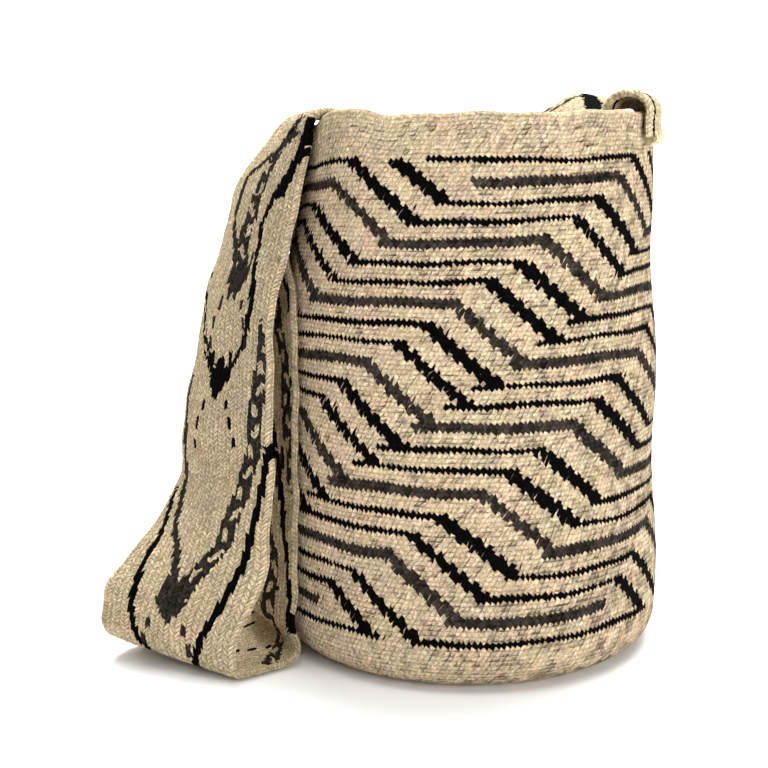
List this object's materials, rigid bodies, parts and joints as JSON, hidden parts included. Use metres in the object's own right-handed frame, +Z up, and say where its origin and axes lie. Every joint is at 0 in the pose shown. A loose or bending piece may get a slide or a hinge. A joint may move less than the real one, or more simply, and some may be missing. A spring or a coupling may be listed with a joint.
{
  "type": "arhuaca mochila bag",
  "caption": "Open round-based shoulder bag of crocheted wool with stepped line patterns, its wide woven wool strap lying across the mouth and down one side.",
  "frame": {"origin": "middle of the base, on the surface it stands on", "axes": "+Z up through the mouth, -Y towards the front, -X towards the side where the strap hangs down"},
  "size_m": [0.2952, 0.206, 0.2921],
  "materials": {
    "bag_wool": "matte crocheted wool",
    "strap_wool": "matte woven wool",
    "left_yarn_wool": "matte spun wool",
    "right_yarn_wool": "matte spun wool"
  },
  "bodies": {
    "root": {"bag_body": "bag_wool", "strap": "strap_wool", "left_seam_yarn": "left_yarn_wool", "right_seam_yarn": "right_yarn_wool"}
  },
  "joints": []
}
